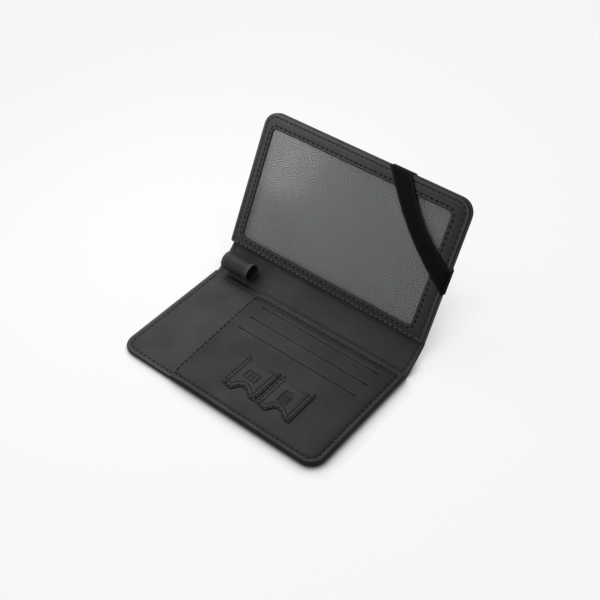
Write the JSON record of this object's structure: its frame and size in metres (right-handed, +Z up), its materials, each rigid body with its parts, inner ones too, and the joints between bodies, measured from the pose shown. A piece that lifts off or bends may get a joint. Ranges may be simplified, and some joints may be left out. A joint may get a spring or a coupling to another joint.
{
  "type": "passport holder",
  "caption": "Folding leather passport holder with a clear window pocket, card slits, SIM pockets, a ticket pocket, a pen loop and a corner elastic band",
  "frame": {"origin": "middle of the back cover's outer face, which lies on the table", "axes": "+X along the spine to the right, +Y from the card panel's free edge to the spine, +Z up"},
  "size_m": [0.1517, 0.1501, 0.0998],
  "materials": {
    "outer_leather": "fine-grained matt coated leather",
    "inner_leather": "smooth matt coated leather",
    "lining": "thin smooth lining leather",
    "board": "pressed fibre board",
    "pocket_cloth": "plain woven pocket cloth",
    "clear_film": "clear soft PVC film",
    "thread": "twisted sewing thread",
    "elastic": "ribbed woven elastic"
  },
  "bodies": {
    "back": {"back_cover": "outer_leather", "back_board": "board", "back_lining": "lining", "ticket_backing": "pocket_cloth", "card_pocket_upper": "pocket_cloth", "card_pocket_middle": "pocket_cloth", "card_pocket_lower": "pocket_cloth", "card_panel": "inner_leather", "sim_pocket_left": "inner_leather", "sim_pocket_right": "inner_leather", "back_edge_thread": "thread", "mouth_thread": "thread", "sim_thread": "thread", "slit_tacks": "thread"},
    "spine": {"spine_cover": "outer_leather", "spine_lining": "lining", "pen_loop": "inner_leather"},
    "front": {"front_cover": "outer_leather", "front_board": "board", "front_lining": "lining", "window_film": "clear_film", "window_frame": "inner_leather", "front_edge_thread": "thread", "window_thread": "thread"},
    "band": {"elastic_band": "elastic"}
  },
  "joints": [
    {"name": "spine_fold", "type": "hinge", "parent": "back", "child": "spine", "pos_m": [0, 0.0445, 0.00045], "axis": [1, 0, 0], "range_deg": [-38, 52]},
    {"name": "front_fold", "type": "hinge", "parent": "spine", "child": "front", "pos_m": [0, 0.06144, 0.01369], "axis": [1, 0, 0], "range_deg": [-24.8, 65.2]},
    {"name": "band_slide", "type": "slide", "parent": "front", "child": "band", "axis": [0.7071, 0.3232, 0.6289], "range_m": [0, 0.036]}
  ]
}
